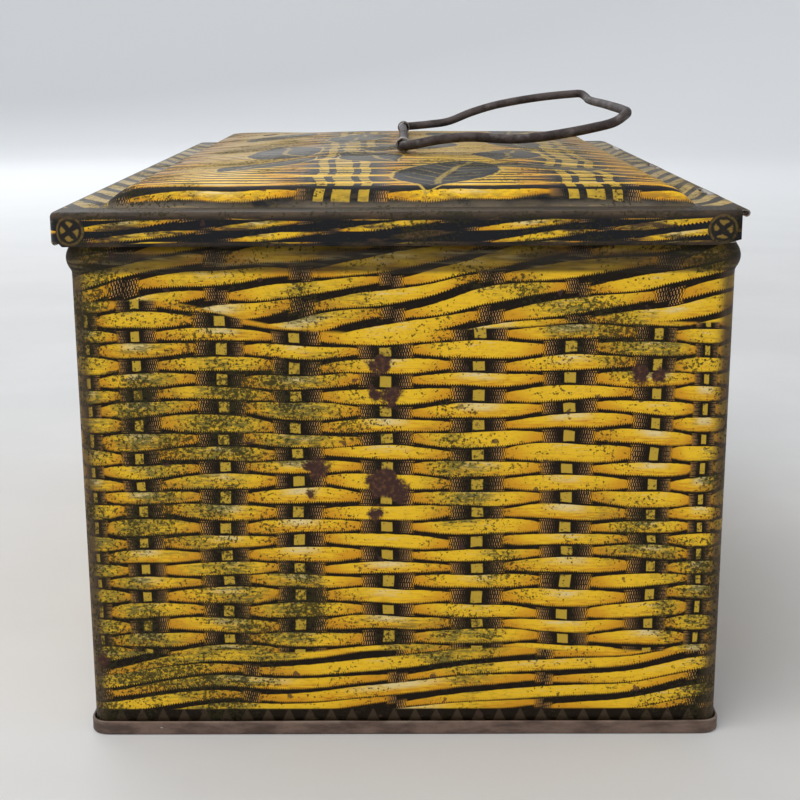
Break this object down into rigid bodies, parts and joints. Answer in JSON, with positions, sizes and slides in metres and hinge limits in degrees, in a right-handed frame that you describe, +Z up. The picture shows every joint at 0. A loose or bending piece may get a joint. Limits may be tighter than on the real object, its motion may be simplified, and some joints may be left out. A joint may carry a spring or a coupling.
{
  "type": "cookie tin",
  "caption": "Rectangular printed tinplate box with a domed hinged lid, a folding wire carrying handle on top and a hanging front hasp.",
  "frame": {"origin": "middle of the whole box, on the surface that the tin stands on", "axes": "+Z up, Y along the tin, the lid opens at -X and is hinged at +X"},
  "size_m": [0.1344, 0.2116, 0.1251],
  "materials": {
    "printed_wall": "satin varnished basket-weave print, worn and rust spotted",
    "printed_base": "dark brown lacquer, scratched",
    "printed_lid": "satin varnished cane print, rubbed and dulled",
    "rusty_wire": "dark brown rusted wire",
    "bare_tin": "dull tarnished tinplate"
  },
  "bodies": {
    "tin_body": {"body_wall": "printed_wall", "base_plate": "printed_base", "catch_button": "bare_tin", "hinge_strap_1": "bare_tin", "hinge_strap_2": "bare_tin", "hinge_strap_3": "bare_tin"},
    "lid": {"lid_shell": "printed_lid", "hinge_wire": "rusty_wire", "handle_loop_1": "bare_tin", "handle_loop_2": "bare_tin", "hasp_leaf": "bare_tin", "hasp_pin": "rusty_wire"},
    "handle": {"handle_bail": "rusty_wire"},
    "hasp": {"hasp_flap": "bare_tin"}
  },
  "joints": [
    {"name": "lid_hinge", "type": "hinge", "parent": "tin_body", "child": "lid", "pos_m": [0.06648, 0, 0.1063], "axis": [0, 1, 0], "range_deg": [0, 110]},
    {"name": "handle_pivot", "type": "hinge", "parent": "lid", "child": "handle", "pos_m": [0.0017, 0, 0.1151], "axis": [0, -1, 0], "range_deg": [0, 165]},
    {"name": "hasp_hinge", "type": "hinge", "parent": "lid", "child": "hasp", "pos_m": [-0.0663, 0, 0.1004], "axis": [0, 1, 0], "range_deg": [-8, 150]}
  ]
}
